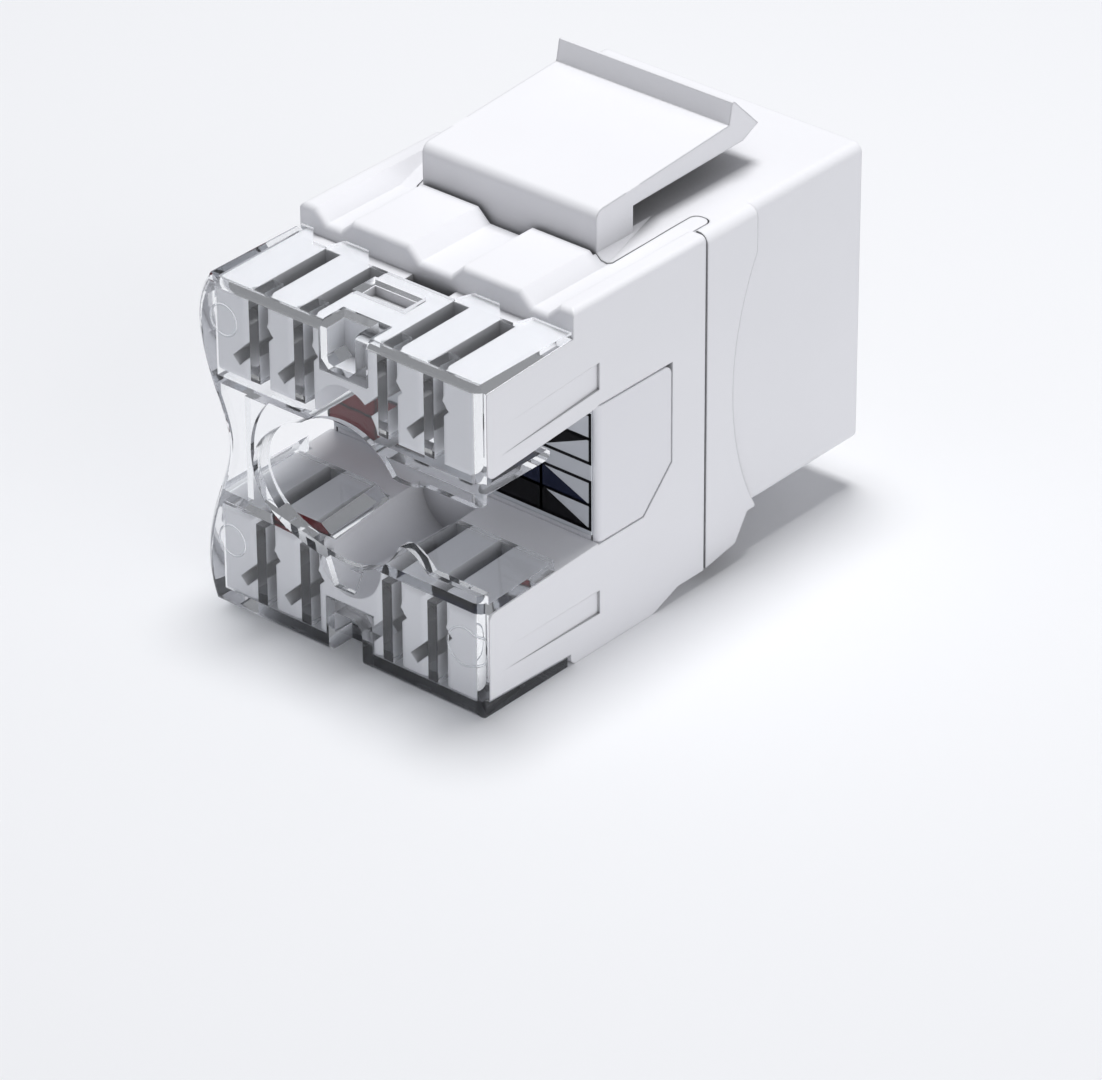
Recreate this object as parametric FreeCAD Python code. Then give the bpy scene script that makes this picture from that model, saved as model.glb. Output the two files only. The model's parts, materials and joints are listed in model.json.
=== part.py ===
import FreeCAD, Part
"""Keystone jack: an eight-way modular socket whose wires are pressed home by a clear cap.

The jack is drawn lying on the flat under its rear housing.  X runs across the jack, Y runs from
the clear cap at the rear to the plug opening at the front and Z is up.  All lengths are in
millimetres.  Pieces are drawn with Y = 0 on the rear face of the cap and are moved on export, so
that the origin of the finished part is the bottom centre of its bounding box.
"""
import math
import os

V = FreeCAD.Vector

# ---------------------------------------------------------------- overall sizes
WIDTH = 15.0                 # across the rear housing and the cap
LENGTH = 25.45               # rear face of the cap to the front face
TOP_Z = 16.75                # top of both housings
MID_Z = 8.05                 # height of the cable axis, about halfway between the arms
SLIDE_GAP = 0.05             # between the cap and the arms that it slides over
SEAT_GAP = 0.05              # round pieces that drop into a pocket

# ---------------------------------------------------------------- rear housing
BODY_REAR_Y = 5.72           # foot of the rear wall, where the arms begin
BODY_LEAN = 0.26             # how far the wall leans forward from its foot to the top
BODY_ROUND = 0.28            # top edges of the body
FLAT_END_Y = 11.05           # front end of the flat that it rests on
SLOPE_END_Y = 12.75          # front end of the ramp under the body
BELLY_Z = 0.63               # underside in front of the ramp
SEAM_Y = 14.45               # joint between the two housings
FOOT_ROUND = 0.35            # lower rear edge of the body
VALLEY_DEPTH = 0.6           # the three valleys sunk into the top
VALLEY_RAMP = 0.65           # width of their sloping sides
CENTRE_VALLEY = 0.85         # half width of the floor of the middle valley
SIDE_VALLEY_INSET = 1.85     # from the side of the body to the middle of a side valley
SIDE_VALLEY_FLOOR = 0.8
SLIT_WIDTH = 2.4             # narrow slit in the upper arm, next to the rear wall
SLIT_LONG = 0.5
SLIT_DEPTH = 2.5
LUG_INSET = 0.7              # lugs that reach forward past the seam, from the side of the body
LUG_LONG = 1.2
LUG_ROUND = 0.38

# ---------------------------------------------------------------- wire arms
ARM_END_Y = 0.6              # rear end of the arms
UPPER_OUTER_REAR_Z = 15.2    # top of the upper arm, at its end
UPPER_OUTER_ROOT_Z = 15.48   # and at the body
UPPER_INNER_REAR_Z = 11.15   # underside of the upper arm, at its end
LOWER_OUTER_REAR_Z = 0.75    # underside of the lower arm, at its end
LOWER_OUTER_ROOT_Z = 0.55    # and at the body
LOWER_INNER_REAR_Z = 4.85    # top of the lower arm, at its end
SIDE_PLATE_INSET = 0.4       # inner face of the cap's side plate, from the side of the body
GAP_END_Y = 7.5              # face of the label holder at the end of the gap
ARM_END_ROUND = 0.4          # inner corner of an arm's end, seen from the side

WIRE_PITCH = 2.5             # between two slots of a pair
PAIR_INSET = 3.95            # centre line of a pair from the side of the jack
SLOT_WIDTH = 0.85
SLOT_END_Y = 5.0
SLOT_MOUTH_ROUND = 0.4       # rounded corners of the fingers at the slot mouths
TOOTH_PROUD = 0.25           # tooth at the mouth that keeps the wire in, right side of a slot
TOOTH_TIP_RISE = 1.2         # its tip above the middle of the contact blade
TOOTH_HEIGHT = 0.87          # from its tip to its upper end

GROOVE_RADIUS = 1.72         # cable groove along the inner face of each arm
GROOVE_AXIS_DROP = 0.12      # its axis lies this far outside the arm's face
GROOVE_END_Y = 6.9

GUIDE_START_Y = 1.4          # side guides: shallow ramps that deepen towards the body
GUIDE_END_Y = 7.6
GUIDE_DEPTH = 0.12
UPPER_GUIDE_FOOT = 0.2       # edges of the guides as shares of the arm's height, from its
UPPER_GUIDE_HEAD = 0.52      # inner face to its outer face
LOWER_GUIDE_FOOT = 0.5
LOWER_GUIDE_HEAD = 0.74

# ---------------------------------------------------------------- contact blades
UPPER_BLADE_Z = 13.1         # middle of the blades in the upper arm
LOWER_BLADE_Z = 2.4
BLADE_SHIFT = 0.25           # the blades stand this far to the left of their slots
BLADE_THICK = 0.4
BLADE_WIDTH = 2.65           # across the fork, which stands at 45 degrees to the wire
BLADE_TIP_Y = 2.75
BLADE_END_Y = 5.9
FORK_GAP = 0.3
FORK_END_Y = 4.9
FORK_MOUTH = 0.75
STEM_WIDTH = 0.8
STEM_PROUD = 0.3             # how far the stems stand out of the board
BLADE_GAP = 0.06             # clearance round blades and stems

# ---------------------------------------------------------------- circuit board
BOARD_REAR_Y = 12.1
BOARD_THICK = 1.0
BOARD_INSET = 1.3            # edge of the board from the side of the body
BOARD_LOW_Z = 1.5
BOARD_HIGH_Z = 15.5
BOARD_EDGE_GAP = 0.1
BOARD_RIM = 0.35             # ledge that the board seats on
RELIEF_DEPTH = 0.5           # hollow behind the board for the solder tails
STEM_HOLE_RADIUS = 0.52
TAIL_HOLE_RADIUS = 0.32

# ---------------------------------------------------------------- label holder
HOLDER_LOW_Z = 5.15
HOLDER_HIGH_Z = 11.65
HOLDER_BACK_Y = 9.0          # front side of the plate that carries the label
CHEEK_END_Y = 12.24          # front end of the D-shaped cheeks
CHEEK_DEPTH = 0.8            # thickness of the cheeks
CHEEK_CUT = 1.85             # slanted lower front corner
CHEEK_ROUND = 0.45
CHEEK_GAP = 0.08             # clearance round the cheeks
HOLDER_ROUND = 0.3           # rear vertical edges of the holder
HOLDER_GROOVE = 0.1          # width and depth of the fine groove beside them
LABEL_THICK = 0.12
LABEL_MARGIN = 0.3

# ---------------------------------------------------------------- front housing
NOSE_STEP = 0.25             # the nose is this much narrower on each side
NOSE_LOW_Z = 2.25
NOSE_ROUND = 0.45
COLLAR_ROUND = 0.5
SEAM_GAP = 0.14              # open joint round the outside of the seam
SEAM_DEPTH = 0.6
COLLAR_END_Y = 17.9          # front end of the collar at its upper and lower ends
COLLAR_WAIST_Y = 16.35       # front edge of the collar where it is shortest
COLLAR_WAIST_DROP = 1.0      # that place lies this far below mid height
COLLAR_ARC_RADIUS = 12.9
LEDGE_END_Y = 16.6           # the fixed shoulder that hooks behind the panel
LEDGE_Z = 1.0
LEDGE_TOP_Y = 17.4
TONGUE_INSET = 1.6           # tongue that reaches back over the rear housing
TONGUE_REAR_Y = 10.65
TONGUE_DEPTH = 0.8
TONGUE_TAPER = 0.55          # narrower by this on each side at its rear end
TONGUE_ROUND = 0.35
LATCH_GAP = 0.22             # between the ridges and the wall of the latch

PLUG_HALF_WIDTH = 5.95       # standard opening for an eight-way modular plug
PLUG_LOW_Z = 7.0
PLUG_HEIGHT = 6.9
TAB_WIDTH = 6.4
TAB_HEIGHT = 1.6
TAB_SLOT_WIDTH = 3.4
TAB_SLOT_HEIGHT = 1.1
TAB_END_Y = 15.6
FRONT_WALL = 1.95
MOUTH_CHAMFER = 0.35

# ---------------------------------------------------------------- latch
LATCH_INSET = 2.73           # side of the latch from the side of the body
LATCH_ROOT_Y = 13.0          # the arm bends here
LATCH_REAR_TOP_Z = 18.5
LATCH_ROOT_TOP_Z = 18.65
LATCH_UNDER_Z = 17.85
LATCH_ROUND = 0.45
HOOK_REAR_Y = 19.3
HOOK_FOOT_Z = 19.1
HOOK_CREST_Y = 19.5
HOOK_CREST_Z = 20.07
HOOK_CREST_WIDTH = 0.15
HOOK_TIP_Y = 21.23
HOOK_TIP_Z = 18.5
HOOK_HEEL_Y = 20.23
HOOK_HEEL_Z = 18.03

# ---------------------------------------------------------------- contact carrier and springs
CARRIER_REAR_Y = 13.6
CARRIER_BLOCK = 1.6
CARRIER_SIDE_GAP = 0.07      # carrier to the sides of the plug opening
CARRIER_TOP_Z = 15.2
SHELF_LOW_Z = 14.05
SHELF_HIGH_Z = 14.7
SHELF_SETBACK = 3.15         # front end of the shelf behind the front face
ROOF_GAP = 0.1
SPRING_PITCH = 1.02
SPRING_COUNT = 8
SPRING_WIDTH = 0.45
SPRING_THICK = 0.3
SPRING_BEND = 0.6
SPRING_DROP = 3.8            # fall of a spring from the front of the shelf to the comb
SPRING_END_Y = 14.5
SPRING_TAIL_Y = 11.85
SPRING_GAP = 0.06
TAIL_DROP = 0.7              # every second tail sits this much lower in the board
COMB_LOW_Z = 8.9
COMB_HIGH_Z = 12.3
COMB_DEPTH = 1.0

# ---------------------------------------------------------------- clear termination cap
CAP_TOP_Z = 15.85
CAP_BOTTOM_Z = 0.05
CAP_ROUND = 0.35             # outer edges of the end wall and of the left side
WALL = 0.55                  # end wall
TOP_PLATE_END_Y = 5.85
TOP_PLATE_BACK_Y = 4.95       # where it ends behind the slit and at the mouths of the outer slots
TOP_NOTCH_WIDTH = 0.7
TOP_NOTCH_CUT = 0.3          # slant of their right sides
TOP_NOTCH_SLANT = 0.8        # and of their left sides
BOTTOM_PLATE_END_Y = 5.5
SIDE_PLATE_END_Y = 5.65
FLANGE_THICK = 0.48          # plate under the upper arm
FLANGE_END_Y = 4.45
SHELF_PLATE_THICK = 0.5      # plate over the lower arm
SHELF_PLATE_END_Y = 4.7
BULGE = 0.4                  # the left side swells this far past the side of the body
UPPER_BULGE_Z = 12.6         # where it does so beside the upper arm
LOWER_BULGE_Z = 1.9          # and beside the lower arm
SIDE_TOP_INSET = 0.2         # upper edge of the left side
WAIST_DEPTH = 1.0            # hollow of the left side at the height of the cable
BEND_INSET = 0.3             # where the side bends from swelling to hollow
UPPER_BEND_Z = 10.35
LOWER_BEND_Z = 5.5
POST_WIDTH = 0.9             # thicker edge of the end wall along the hollow
POST_DEPTH = 0.9
BROW_Z = 10.15               # open right side: underside of the end wall's upper part
SILL_Z = 6.0                 # and top of its lower part
BUMP_X = 3.1                 # two bumps that keep the cable in the window
BUMP_HIGH_Z = 9.85
BUMP_LOW_Z = 6.72
BUMP_RUN = 1.6               # from a bump to the straight edge on its right
ARCH_X = -0.3                # top of the window
ARCH_Z = 10.87
SHOULDER_X = -4.0            # upper left corner of the window
SHOULDER_Z = 9.57
WINDOW_LEFT_X = -4.95
HIP_X = -4.86                # lower left corner of the window
HIP_Z = 6.92
DIP_X = -1.2                 # lowest part of the window
DIP_Z = 4.65
HEEL_X = 1.4                 # right end of the lowest part
HEEL_Z = 5.03
CABLE_RADIUS = 3.4           # relief for the cable through the inner plates
RIM_WIDTH = 0.5              # thickened rim on the left of the window
RIM_DEPTH = 0.45
RIM_RADIUS = 3.35
RIM_X = -1.5
STUFFER_WIDTH = 0.55         # ribs that push the wires into the blades
STUFFER_SHIFT = 0.12         # they stand left of the middle of the slot
STUFFER_END_Y = 1.8
STUFFER_ROUND = 0.3
SNAP_WIDTH = 2.8             # window that clips over the arm
SNAP_SHIFT = 0.4             # its middle lies this far to the left
SNAP_LONG = 1.4
SNAP_REAR_Y = 2.9
SNAP_DEPTH = 0.45
GRIP_WIDTH = 1.9             # finger pocket in the end wall
GRIP_HEIGHT = 2.1
GRIP_DEPTH = 0.9
GRIP_BEVEL = 0.4
GRIP_WALL = 0.35
NICK_WIDTH = 2.0             # tapered recess above the lower arm's finger pocket
NICK_TAPER = 0.45
NICK_LOW_Z = 3.4
NICK_HIGH_Z = 4.6
NICK_DEPTH = 0.3

# ---------------------------------------------------------------- derived places
HALF = WIDTH / 2
NOSE_HALF = HALF - NOSE_STEP
PAIR_OFFSET = HALF - PAIR_INSET
SLOT_XS = [side * (PAIR_OFFSET + step * WIRE_PITCH / 2) for side, step in
           ((-1, 1), (-1, -1), (1, -1), (1, 1))]
SIDE_PLATE_X = -HALF + SIDE_PLATE_INSET
ARM_LEFT_X = SIDE_PLATE_X + SLIDE_GAP
VALLEY_Z = TOP_Z - VALLEY_DEPTH
BOARD_FRONT_Y = BOARD_REAR_Y + BOARD_THICK
BOARD_HALF = HALF - BOARD_INSET
TONGUE_HALF = HALF - TONGUE_INSET
LATCH_HALF = HALF - LATCH_INSET
CARRIER_HALF = PLUG_HALF_WIDTH - CARRIER_SIDE_GAP
POCKET_FRONT_Y = LENGTH - FRONT_WALL
SHELF_END_Y = LENGTH - SHELF_SETBACK
ROOF_Z = CARRIER_TOP_Z + ROOF_GAP
SPRING_TOP_Z = SHELF_HIGH_Z + SPRING_GAP + SPRING_THICK / 2
SPRING_XS = [(i - (SPRING_COUNT - 1) / 2) * SPRING_PITCH for i in range(SPRING_COUNT)]


# ---------------------------------------------------------------- small tools
def box(x0, x1, y0, y1, z0, z1):
    """A block between two opposite corners, given in any order."""
    low = V(min(x0, x1), min(y0, y1), min(z0, z1))
    return Part.makeBox(abs(x1 - x0), abs(y1 - y0), abs(z1 - z0), low)


def centred_box(half_width, y0, y1, z0, z1):
    """A block that is symmetrical about the middle of the jack."""
    return box(-half_width, half_width, y0, y1, z0, z1)


def prism_x(points, x0, x1):
    """A (y, z) outline swept across the jack."""
    face = Part.Face(Part.makePolygon([V(x0, y, z) for y, z in points + points[:1]]))
    return face.extrude(V(x1 - x0, 0, 0))


def prism_y(points, y0, y1):
    """An (x, z) outline swept along the jack."""
    face = Part.Face(Part.makePolygon([V(x, y0, z) for x, z in points + points[:1]]))
    return face.extrude(V(0, y1 - y0, 0))


def prism_z(points, z0, z1):
    """An (x, y) outline swept upwards."""
    face = Part.Face(Part.makePolygon([V(x, y, z0) for x, y in points + points[:1]]))
    return face.extrude(V(0, 0, z1 - z0))


def rod_y(x, z, radius, y0, y1):
    """A round bar along the jack."""
    return Part.makeCylinder(radius, y1 - y0, V(x, y0, z), V(0, 1, 0))


def joined(shapes):
    """All the shapes as one solid, with flush faces merged."""
    first, *rest = shapes
    return (first.multiFuse(rest) if rest else first).removeSplitter()


def without(shape, tools):
    """The shape with all the tools cut away."""
    return shape.cut(tools).removeSplitter()


def chosen(shape, wanted):
    """The edges with two ends that wanted(a, b) accepts."""
    return [e for e in shape.Edges if len(e.Vertexes) == 2
            and wanted(e.Vertexes[0].Point, e.Vertexes[1].Point)]


def rounded(shape, radius, wanted):
    """The shape with a fillet on each edge that wanted(a, b) accepts."""
    return shape.makeFillet(radius, chosen(shape, wanted))


def bevelled(shape, size, wanted):
    """The shape with a chamfer on each edge that wanted(a, b) accepts."""
    return shape.makeChamfer(size, chosen(shape, wanted))


def at(value, *others):
    """True when every other value equals the first."""
    return all(abs(value - other) < 1e-4 for other in others)


def between(start, end, share):
    """The value that lies a share of the way from start to end."""
    return start + (end - start) * share


def turned_45(shape, x, z):
    """The shape turned about a line along the jack, so that its width points up and right."""
    copy = shape.copy()
    copy.rotate(V(x, 0, z), V(0, 1, 0), -45)
    return copy


def bent_strip(points, bend, thick, half_width):
    """A flat wire that follows (y, z) points, with every corner bent to the same radius."""
    runs = []
    start = points[0]
    for before, corner, after in zip(points, points[1:], points[2:]):
        d0 = unit(before, corner)
        d1 = unit(corner, after)
        turn = math.atan2(d0[0] * d1[1] - d0[1] * d1[0], d0[0] * d1[0] + d0[1] * d1[1])
        reach = bend * math.tan(abs(turn) / 2)
        arc_in = (corner[0] - d0[0] * reach, corner[1] - d0[1] * reach)
        side = 1 if turn > 0 else -1
        centre = (arc_in[0] - d0[1] * bend * side, arc_in[1] + d0[0] * bend * side)
        runs.append(("run", start, arc_in))
        runs.append(("arc", arc_in, centre, turn))
        start = (corner[0] + d1[0] * reach, corner[1] + d1[1] * reach)
    runs.append(("run", start, points[-1]))
    return joined([strip_piece(run, bend, thick, half_width) for run in runs])


def unit(a, b):
    """The direction from one (y, z) point to another."""
    length = math.hypot(b[0] - a[0], b[1] - a[1])
    return ((b[0] - a[0]) / length, (b[1] - a[1]) / length)


def strip_piece(run, bend, thick, half_width):
    """One straight stretch or one bend of a flat wire."""
    if run[0] == "run":
        _, a, b = run
        d = unit(a, b)
        across = (-d[1] * thick / 2, d[0] * thick / 2)
        outline = [(a[0] + across[0], a[1] + across[1]), (b[0] + across[0], b[1] + across[1]),
                   (b[0] - across[0], b[1] - across[1]), (a[0] - across[0], a[1] - across[1])]
        return prism_x(outline, -half_width, half_width)
    _, arc_in, centre, turn = run
    d = unit(centre, arc_in)
    inner, outer = bend - thick / 2, bend + thick / 2
    section = Part.Face(Part.makePolygon([
        V(x, centre[0] + d[0] * r, centre[1] + d[1] * r)
        for x, r in ((-half_width, inner), (half_width, inner), (half_width, outer),
                     (-half_width, outer), (-half_width, inner))]))
    return section.revolve(V(0, centre[0], centre[1]), V(1, 0, 0), math.degrees(turn))


# ---------------------------------------------------------------- the two wire arms
class Arm:
    """One wire arm: a tapering bar whose inner face looks at the cable."""

    def __init__(self, side, outer_ends, inner_ends, blade_z, guide):
        """Keeps the side (1 for the upper arm), the heights of both faces and its details."""
        self.side = side
        self.outer_ends = outer_ends
        self.inner_ends = inner_ends
        self.blade_z = blade_z
        self.guide = guide

    def outer(self, y, grow=0.0):
        """Height of the outer face at y, moved outwards by grow."""
        share = (y - ARM_END_Y) / (BODY_REAR_Y - ARM_END_Y)
        return between(*self.outer_ends, share) + self.side * grow

    def inner(self, y, grow=0.0):
        """Height of the inner face at y, moved towards the cable by grow."""
        share = (y - ARM_END_Y) / (GAP_END_Y - ARM_END_Y)
        return between(*self.inner_ends, share) - self.side * grow

    def bar(self):
        """The arm before its slots are cut, with its end rounded towards the cable."""
        outline = [(y, face(y)) for y, face in ((ARM_END_Y, self.inner), (GAP_END_Y, self.inner),
                                                (GAP_END_Y, self.outer), (ARM_END_Y, self.outer))]
        solid = prism_x(outline, ARM_LEFT_X, HALF)
        low = self.inner(ARM_END_Y)
        return rounded(solid, ARM_END_ROUND, lambda a, b: at(a.y, b.y, ARM_END_Y) and
                       at(a.z, b.z, low))

    def guide_space(self):
        """The shallow ramp along the right side, deepest next to the body."""
        plan = prism_z([(HALF, GUIDE_START_Y), (HALF, GUIDE_END_Y),
                        (HALF - GUIDE_DEPTH, GUIDE_END_Y)], 0, TOP_Z)
        band = [(y, between(self.inner(y), self.outer(y), share))
                for y, share in ((0, self.guide[0]), (GUIDE_END_Y, self.guide[0]),
                                 (GUIDE_END_Y, self.guide[1]), (0, self.guide[1]))]
        return plan.common(prism_x(band, 0, HALF))

    def groove(self):
        """The half-round channel for the cable along the inner face."""
        axis_z = self.inner(ARM_END_Y, -GROOVE_AXIS_DROP)
        return rod_y(0, axis_z, GROOVE_RADIUS, ARM_END_Y, GROOVE_END_Y)

    def slot(self, x):
        """The space for one wire, flared by a round corner on each side of its mouth."""
        half, flare = SLOT_WIDTH / 2, SLOT_MOUTH_ROUND
        low, high = sorted((self.inner(ARM_END_Y, flare), self.outer(GAP_END_Y, flare)))
        mouth = box(x - half - flare, x + half + flare, ARM_END_Y, ARM_END_Y + flare, low, high)
        corners = [Part.makeCylinder(flare, high - low,
                                     V(x + side * (half + flare), ARM_END_Y + flare, low))
                   for side in (-1, 1)]
        run = box(x - half, x + half, ARM_END_Y, SLOT_END_Y, low, high)
        return joined([run, mouth.cut(corners)])

    def tooth(self, x):
        """The tooth on the right side of a slot's mouth, above the contact blade."""
        wall = x + SLOT_WIDTH / 2 + SLOT_MOUTH_ROUND
        tip_z = self.blade_z + TOOTH_TIP_RISE
        outline = [(wall, tip_z + TOOTH_HEIGHT), (wall - TOOTH_PROUD, tip_z),
                   (wall, tip_z - TOOTH_PROUD)]
        return prism_y(outline, ARM_END_Y, ARM_END_Y + SLOT_MOUTH_ROUND)

    def blade_space(self, x):
        """The leaning pocket of one contact blade, open to the rear, and its stem's passage."""
        wide, thick = BLADE_WIDTH / 2 + BLADE_GAP, BLADE_THICK / 2 + BLADE_GAP
        z = self.blade_z
        pocket = box(x - wide, x + wide, ARM_END_Y, BLADE_END_Y + BLADE_GAP, z - thick, z + thick)
        stem = STEM_WIDTH / 2 + BLADE_GAP
        passage = box(x - stem, x + stem, BLADE_END_Y, BOARD_REAR_Y, z - thick, z + thick)
        return [turned_45(pocket, x, z), turned_45(passage, x, z)]

    def snap_ramp(self):
        """The sloping catch under the window of the cap's outer plate."""
        front_y = SNAP_REAR_Y + SNAP_LONG
        ramp = [(SNAP_REAR_Y, self.outer(SNAP_REAR_Y)), (front_y, self.outer(front_y)),
                (front_y, self.outer(front_y, -SNAP_DEPTH))]
        return prism_x(ramp, -SNAP_SHIFT - SNAP_WIDTH / 2, -SNAP_SHIFT + SNAP_WIDTH / 2)

    def grip_space(self):
        """The notch that clears the finger pocket of the cap."""
        wide = GRIP_WIDTH / 2 + GRIP_WALL + SLIDE_GAP
        deep = WALL + GRIP_DEPTH + GRIP_WALL + SLIDE_GAP
        inside_z = grip_floor(self.side) - self.side * (GRIP_WALL + SLIDE_GAP)
        return centred_box(wide, ARM_END_Y, deep, inside_z, self.outer(GAP_END_Y))

    def cuts(self):
        """Everything that is cut out of this arm."""
        spaces = [self.guide_space(), self.groove(), self.snap_ramp(), self.grip_space()]
        for x in SLOT_XS:
            spaces.append(self.slot(x))
            spaces += self.blade_space(x - BLADE_SHIFT)
        return spaces


ARMS = {
    "upper": Arm(1, (UPPER_OUTER_REAR_Z, UPPER_OUTER_ROOT_Z), (UPPER_INNER_REAR_Z, HOLDER_HIGH_Z),
                 UPPER_BLADE_Z, (UPPER_GUIDE_FOOT, UPPER_GUIDE_HEAD)),
    "lower": Arm(-1, (LOWER_OUTER_REAR_Z, LOWER_OUTER_ROOT_Z), (LOWER_INNER_REAR_Z, HOLDER_LOW_Z),
                 LOWER_BLADE_Z, (LOWER_GUIDE_FOOT, LOWER_GUIDE_HEAD)),
}


# ---------------------------------------------------------------- rear housing
def wall_y(z):
    """Where the leaning rear wall of the body stands at height z."""
    return BODY_REAR_Y + BODY_LEAN * z / TOP_Z


def top_valley(x, half_floor, end_y):
    """A valley sunk into the top: level up to the tongue, then running out at end_y."""
    half_rim = half_floor + VALLEY_RAMP
    outline = [(x - half_rim, TOP_Z), (x - half_floor, VALLEY_Z), (x + half_floor, VALLEY_Z),
               (x + half_rim, TOP_Z)]
    run = [(BODY_REAR_Y, VALLEY_Z), (TONGUE_REAR_Y, VALLEY_Z), (end_y, TOP_Z),
           (BODY_REAR_Y, TOP_Z)]
    level = prism_y(outline, BODY_REAR_Y, end_y)
    return level.common(prism_x(run, x - half_rim, x + half_rim))


def side_valleys():
    """The two outer valleys, which run out beside the tongue and end at the seam."""
    side_x = HALF - SIDE_VALLEY_INSET
    return [top_valley(x, SIDE_VALLEY_FLOOR / 2, SEAM_Y) for x in (-side_x, side_x)]


def body_block():
    """The body behind the seam, with its wavy top, rounded edges and resting flat."""
    outline = [(BODY_REAR_Y, 0), (FLAT_END_Y, 0), (SLOPE_END_Y, BELLY_Z), (SEAM_Y, BELLY_Z),
               (SEAM_Y, TOP_Z), (wall_y(TOP_Z), TOP_Z)]
    valleys = side_valleys() + [top_valley(0, CENTRE_VALLEY, TONGUE_REAR_Y)]
    block = without(prism_x(outline, -HALF, HALF), valleys)
    block = rounded(block, BODY_ROUND, lambda a, b: all(
        p.z > VALLEY_Z - SEAT_GAP and at(p.y, wall_y(p.z)) for p in (a, b)) or (
            at(a.x, b.x) and at(abs(a.x), HALF) and at(a.z, b.z, TOP_Z)))
    return rounded(block, FOOT_ROUND, lambda a, b: at(a.y, b.y, BODY_REAR_Y) and at(a.z, b.z, 0))


def slit():
    """The narrow slit in the top of the upper arm, next to the rear wall."""
    top = UPPER_OUTER_ROOT_Z
    front_y = wall_y(top)
    return centred_box(SLIT_WIDTH / 2, front_y - SLIT_LONG, front_y, top - SLIT_DEPTH,
                       top + SLIDE_GAP)


def lugs(grow):
    """The two lugs of the rear housing that reach past the seam on top, and their pockets."""
    pieces = []
    for side in (-1, 1):
        inner = side * (TONGUE_HALF + SEAT_GAP - grow)
        outer, front_y = side * (HALF - LUG_INSET + grow), SEAM_Y + LUG_LONG + grow
        lug = box(inner, outer, SEAM_Y, front_y, TOP_Z - TONGUE_DEPTH - grow, TOP_Z)
        pieces.append(rounded(lug, LUG_ROUND, lambda a, b: at(a.x, b.x) and
                              at(a.y, b.y, front_y)))
    return pieces


def board_pocket():
    """The stepped pocket behind the seam: a seat for the board and a hollow behind it."""
    wide = BOARD_HALF + BOARD_EDGE_GAP
    low, high = BOARD_LOW_Z - BOARD_EDGE_GAP, BOARD_HIGH_Z + BOARD_EDGE_GAP
    seat = centred_box(wide, BOARD_REAR_Y, SEAM_Y, low, high)
    relief = centred_box(wide - BOARD_RIM, BOARD_REAR_Y - RELIEF_DEPTH, BOARD_REAR_Y,
                         low + BOARD_RIM, high - BOARD_RIM)
    return [seat, relief]


def holder_outline(grow):
    """Side view of the label holder's cheek, with its slanted lower front corner."""
    low, high = HOLDER_LOW_Z - grow, HOLDER_HIGH_Z + grow
    front = CHEEK_END_Y + grow
    return [(GAP_END_Y, low), (front - CHEEK_CUT, low), (front, low + CHEEK_CUT), (front, high),
            (GAP_END_Y, high)]


def holder_space():
    """The room in the rear housing for the label holder and the gap behind it."""
    upper, lower = ARMS["upper"], ARMS["lower"]
    gap = [(y, arm.inner(y)) for y, arm in ((ARM_END_Y, lower), (GAP_END_Y, lower),
                                            (GAP_END_Y, upper), (ARM_END_Y, upper))]
    spaces = [prism_x(gap, -HALF, HALF),
              box(-HALF, HALF, GAP_END_Y, HOLDER_BACK_Y + SEAT_GAP, HOLDER_LOW_Z - SEAT_GAP,
                  HOLDER_HIGH_Z + SEAT_GAP)]
    for side in (-1, 1):
        inner = side * (HALF - CHEEK_DEPTH - SEAT_GAP)
        spaces.append(prism_x(holder_outline(CHEEK_GAP), inner, side * HALF))
    return spaces


def tongue_outline(grow):
    """Plan of the tongue that reaches back over the rear housing."""
    wide, rear, cut = TONGUE_HALF + grow, TONGUE_REAR_Y - grow, TONGUE_ROUND
    narrow = wide - TONGUE_TAPER
    return [(-wide, SEAM_Y), (-narrow, rear + cut), (-narrow + cut, rear), (narrow - cut, rear),
            (narrow, rear + cut), (wide, SEAM_Y)]


def rear_housing():
    """The rear housing: body, ribbed top, two wire arms and all that is cut into them."""
    tongue = prism_z(tongue_outline(SEAT_GAP), TOP_Z - TONGUE_DEPTH - SEAT_GAP, TOP_Z)
    latch_room = centred_box(LATCH_HALF, TONGUE_REAR_Y - LATCH_GAP, TONGUE_REAR_Y,
                             TOP_Z - TONGUE_DEPTH, TOP_Z)
    body = without(body_block(), holder_space() + [tongue, latch_room])
    shape = joined([body] + lugs(0) + [arm.bar() for arm in ARMS.values()])
    cuts = [cut for arm in ARMS.values() for cut in arm.cuts()]
    shape = without(shape, cuts + board_pocket() + [slit()])
    return joined([shape] + [arm.tooth(x) for arm in ARMS.values() for x in SLOT_XS])


# ---------------------------------------------------------------- front housing and latch
def collar():
    """The wider stretch next to the seam, with its shoulder for the panel underneath."""
    outline = [(SEAM_Y, BELLY_Z), (LEDGE_END_Y, LEDGE_Z), (LEDGE_TOP_Y, NOSE_LOW_Z),
               (COLLAR_END_Y, NOSE_LOW_Z), (COLLAR_END_Y, TOP_Z), (SEAM_Y, TOP_Z)]
    block = prism_x(outline, -HALF, HALF)
    block = rounded(block, COLLAR_ROUND, lambda a, b: at(a.x, b.x) and at(abs(a.x), HALF) and
                    at(a.z, b.z, TOP_Z))
    waist_z = (NOSE_LOW_Z + TOP_Z) / 2 - COLLAR_WAIST_DROP
    axis_y = COLLAR_WAIST_Y + COLLAR_ARC_RADIUS
    sweep = Part.makeCylinder(COLLAR_ARC_RADIUS, WIDTH, V(-HALF, axis_y, waist_z), V(1, 0, 0))
    core = centred_box(NOSE_HALF, SEAM_Y, axis_y, 0, HOOK_CREST_Z)
    return without(block, [sweep.cut(core)])


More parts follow.
